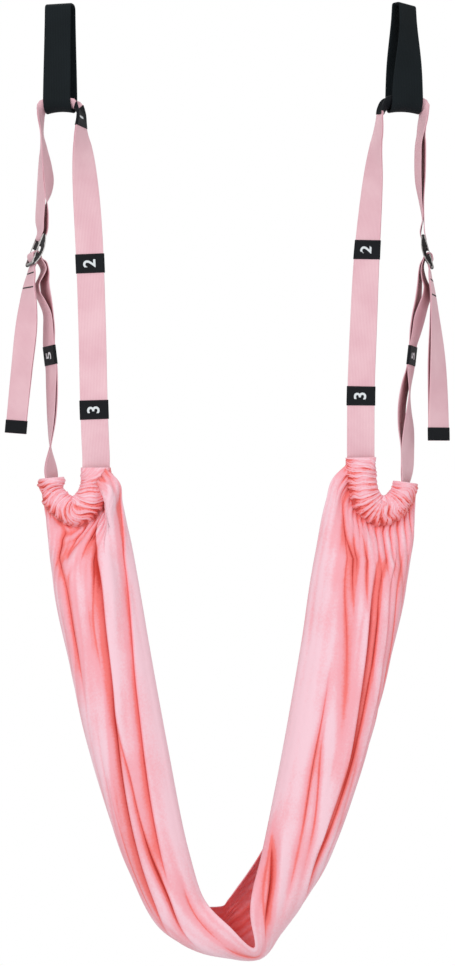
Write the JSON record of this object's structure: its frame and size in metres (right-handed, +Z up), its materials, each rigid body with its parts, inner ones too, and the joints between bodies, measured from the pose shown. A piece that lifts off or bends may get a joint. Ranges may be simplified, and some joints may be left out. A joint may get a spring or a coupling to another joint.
{
  "type": "waist stretching strap",
  "caption": "Cloth sling hung between two adjustable doubled webbing loops, with black hanging loops, metal sliding adjusters and number labels.",
  "frame": {"origin": "midway between the inner tops of the two black hanging loops, where the bar that carries them passes", "axes": "+Z up, +X to the viewer's right, +Y away from the viewer"},
  "size_m": [0.6215, 0.0992, 1.3232],
  "materials": {
    "webbing": "pink woven polyester webbing, matt",
    "loop": "black woven webbing, matt",
    "label": "black woven label",
    "metal": "dark nickel plate, polished",
    "cloth": "pink woven sling cloth, soft, slight sheen"
  },
  "bodies": {
    "hanging_loops": {"left_hanging_loop": "loop", "right_hanging_loop": "loop"},
    "strap_loops": {"left_saddle_strap": "webbing", "left_front_strap": "webbing", "left_front_strap_lower": "webbing", "left_label_1": "label", "left_label_2": "label", "left_label_3": "label", "left_label_5": "label", "left_top_strap_outer": "webbing", "left_top_strap_inner": "webbing", "left_back_strap_outer": "webbing", "left_back_strap_inner": "webbing", "left_back_strap_lower_outer": "webbing", "left_back_strap_lower_inner": "webbing", "left_adjuster_frame": "metal", "right_saddle_strap": "webbing", "right_front_strap": "webbing", "right_front_strap_lower": "webbing", "right_label_1": "label", "right_label_2": "label", "right_label_3": "label", "right_label_5": "label", "right_top_strap_outer": "webbing", "right_top_strap_inner": "webbing", "right_back_strap_outer": "webbing", "right_back_strap_inner": "webbing", "right_back_strap_lower_outer": "webbing", "right_back_strap_lower_inner": "webbing", "right_adjuster_frame": "metal"},
    "sling": {"sling_cloth": "cloth", "left_channel": "cloth", "left_channel_strap": "webbing", "right_channel": "cloth", "right_channel_strap": "webbing"},
    "left_slider": {"left_friction_bar": "metal", "left_friction_wrap": "webbing"},
    "left_tail": {"left_tail_outer": "webbing", "left_tail_inner": "webbing", "left_tip_label": "label"},
    "right_slider": {"right_friction_bar": "metal", "right_friction_wrap": "webbing"},
    "right_tail": {"right_tail_outer": "webbing", "right_tail_inner": "webbing", "right_tip_label": "label"}
  },
  "joints": [
    {"name": "strap_swing", "type": "hinge", "parent": "hanging_loops", "child": "strap_loops", "pos_m": [0, 0, -0.1308], "axis": [1, 0, 0], "range_deg": [-12, 12], "deforming": ["left_saddle_strap", "right_saddle_strap", "right_label_1"]},
    {"name": "sling_swing", "type": "hinge", "parent": "strap_loops", "child": "sling", "pos_m": [0, 0.001, -0.64], "axis": [1, 0, 0], "range_deg": [-20, 20], "deforming": ["left_front_strap_lower", "left_back_strap_lower_outer", "left_back_strap_lower_inner", "right_front_strap_lower", "right_back_strap_lower_outer", "right_back_strap_lower_inner"]},
    {"name": "left_slider_slide", "type": "slide", "parent": "strap_loops", "child": "left_slider", "axis": [0.345, 0.1045, 0.9328], "range_m": [0, 0.01], "deforming": ["left_friction_wrap"]},
    {"name": "left_tail_swing", "type": "hinge", "parent": "strap_loops", "child": "left_tail", "pos_m": [-0.2783, 0.00391, -0.35706], "axis": [-0.29, 0.957, 0], "range_deg": [-2, 40]},
    {"name": "right_slider_slide", "type": "slide", "parent": "strap_loops", "child": "right_slider", "axis": [-0.2679, 0.0324, 0.9629], "range_m": [0, 0.01], "deforming": ["right_friction_wrap"]},
    {"name": "right_tail_swing", "type": "hinge", "parent": "strap_loops", "child": "right_tail", "pos_m": [0.27856, 0.00535, -0.35976], "axis": [-0.12, -0.9928, 0], "range_deg": [-2, 40]}
  ]
}
